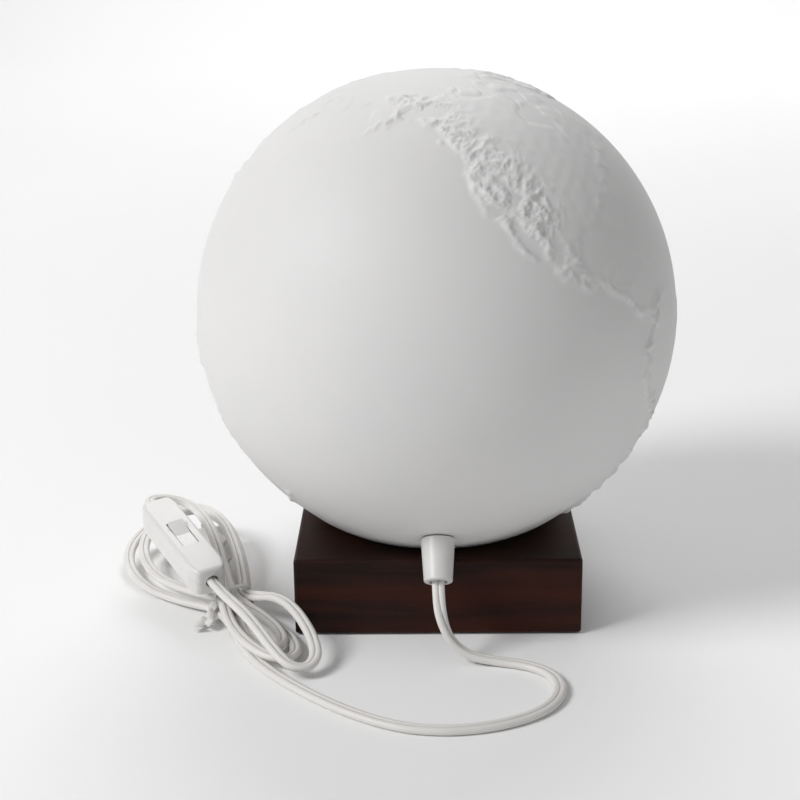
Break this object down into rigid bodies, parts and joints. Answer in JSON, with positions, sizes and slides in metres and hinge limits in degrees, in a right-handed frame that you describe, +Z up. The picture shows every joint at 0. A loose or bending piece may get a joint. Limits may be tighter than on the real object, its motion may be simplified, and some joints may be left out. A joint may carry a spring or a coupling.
{
  "type": "globe table lamp",
  "caption": "Globe table lamp: a hollow white globe that rests in the turned dish of a square wooden block, with a corded lampholder, a bulb, an inline rocker switch and a tied cord.",
  "frame": {"origin": "centre of the wooden block's footprint, on the table under its pads", "axes": "+Z up, -Y towards the side where the cord leaves the globe, +X to the right seen from there"},
  "size_m": [0.2896, 0.2879, 0.266],
  "materials": {
    "wood": "dark stain, satin lacquer",
    "globe": "white, satin",
    "white_plastic": "white, satin",
    "cord_pvc": "warm white, soft",
    "paper": "uncoated",
    "cork": "soft pad",
    "plated_steel": "zinc plated",
    "brass": "plain",
    "nickel_brass": "nickel plated",
    "insulator": "moulded",
    "core_insulation": "soft",
    "board": "white lacquered board",
    "diffuser": "opal",
    "black_plastic": "matt"
  },
  "bodies": {
    "stand": {"base_block": "wood", "foot_pads": "cork", "cord_free": "cord_pvc", "cord_hank": "cord_pvc", "cord_plug_lead": "cord_pvc", "hank_tie": "paper", "switch_bottom": "white_plastic", "switch_top": "white_plastic", "cord_clamps": "white_plastic", "switch_screws": "plated_steel", "rocker_pin": "plated_steel", "switch_contacts": "brass", "plug_body": "white_plastic", "plug_pins": "nickel_brass", "pin_sleeves": "black_plastic"},
    "lamp": {"globe_shell": "globe", "cord_grip": "white_plastic", "nipple": "plated_steel", "wall_washer": "plated_steel", "lock_nut": "plated_steel", "holder_cap": "white_plastic", "holder_insert": "insulator", "holder_skirt": "white_plastic", "holder_thread": "nickel_brass", "centre_contact": "brass", "terminal_blocks": "brass", "terminal_screws": "plated_steel", "inner_cord": "cord_pvc", "core_wires": "core_insulation"},
    "bulb": {"bulb_cap": "nickel_brass", "bulb_tip": "insulator", "bulb_housing": "white_plastic", "led_board": "board", "bulb_diffuser": "diffuser"},
    "rocker": {"switch_rocker": "white_plastic", "contact_bridge": "brass"}
  },
  "joints": [
    {"name": "globe_lift", "type": "slide", "parent": "stand", "child": "lamp", "axis": [0, 0, 1], "range_m": [0, 0.05], "deforming": ["cord_free"]},
    {"name": "bulb_unscrew", "type": "slide", "parent": "lamp", "child": "bulb", "axis": [0, 0.6293, 0.7771], "range_m": [0, 0.022]},
    {"name": "rocker_turn", "type": "hinge", "parent": "stand", "child": "rocker", "pos_m": [-0.12928, -0.03079, 0.0349], "axis": [-0.8452, -0.5302, -0.068], "range_deg": [0, 18]}
  ]
}
